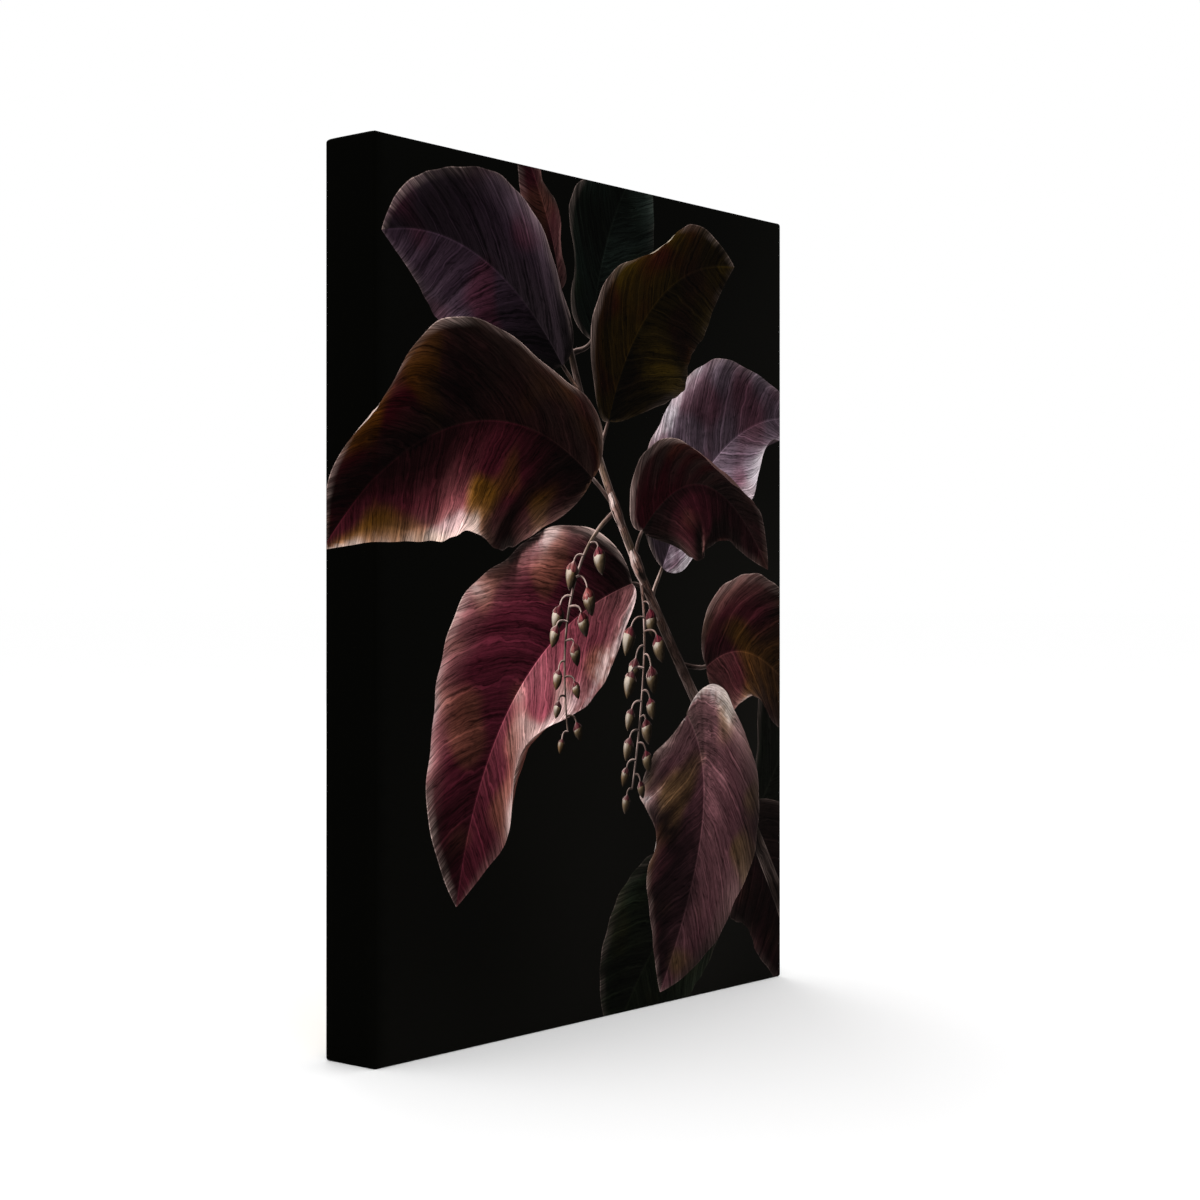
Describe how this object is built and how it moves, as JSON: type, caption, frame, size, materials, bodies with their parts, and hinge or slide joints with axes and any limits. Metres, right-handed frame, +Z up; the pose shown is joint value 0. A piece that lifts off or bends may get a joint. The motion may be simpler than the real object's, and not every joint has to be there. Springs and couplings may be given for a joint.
{
  "type": "stretched canvas print",
  "caption": "Gallery-wrapped canvas print, portrait: a printed canvas sheet pulled round a keyed pine stretcher frame and stapled behind, with a sawtooth hanger and wall bumpers.",
  "frame": {"origin": "the hanging point: the notch of the sawtooth hanger's middle tooth, on the wall plane y = 0", "axes": "+Z up, -Y out of the picture towards the viewer, +Y into the wall, +X to the viewer's right"},
  "size_m": [0.3, 0.0335, 0.4],
  "materials": {
    "printed_canvas": "matte print in near-black, wine and dusty rose",
    "pine": "bare planed pine",
    "beech": "bare sawn beech",
    "staple_steel": "galvanised wire",
    "zinc_steel": "zinc plated",
    "bumper_rubber": "satin"
  },
  "bodies": {
    "root": {"bumper_left": "bumper_rubber", "bumper_right": "bumper_rubber", "canvas": "printed_canvas", "hanger": "zinc_steel", "hanger_nail_left": "zinc_steel", "hanger_nail_right": "zinc_steel", "key_bottom_across": "beech", "key_bottom_along": "beech", "key_left_across": "beech", "key_left_along": "beech", "key_right_across": "beech", "key_right_along": "beech", "key_top_across": "beech", "key_top_along": "beech", "staple_bottom_1": "staple_steel", "staple_bottom_2": "staple_steel", "staple_bottom_3": "staple_steel", "staple_bottom_4": "staple_steel", "staple_bottom_5": "staple_steel", "staple_bottom_6": "staple_steel", "staple_bottom_7": "staple_steel", "staple_corner_bottom_left": "staple_steel", "staple_corner_bottom_right": "staple_steel", "staple_corner_top_left": "staple_steel", "staple_corner_top_right": "staple_steel", "staple_left_1": "staple_steel", "staple_left_2": "staple_steel", "staple_left_3": "staple_steel", "staple_left_4": "staple_steel", "staple_left_5": "staple_steel", "staple_left_6": "staple_steel", "staple_left_7": "staple_steel", "staple_left_8": "staple_steel", "staple_left_9": "staple_steel", "staple_right_1": "staple_steel", "staple_right_2": "staple_steel", "staple_right_3": "staple_steel", "staple_right_4": "staple_steel", "staple_right_5": "staple_steel", "staple_right_6": "staple_steel", "staple_right_7": "staple_steel", "staple_right_8": "staple_steel", "staple_right_9": "staple_steel", "staple_top_1": "staple_steel", "staple_top_2": "staple_steel", "staple_top_3": "staple_steel", "staple_top_4": "staple_steel", "staple_top_5": "staple_steel", "staple_top_6": "staple_steel", "stretcher_bottom": "pine", "stretcher_left": "pine", "stretcher_right": "pine", "stretcher_top": "pine"}
  },
  "joints": []
}
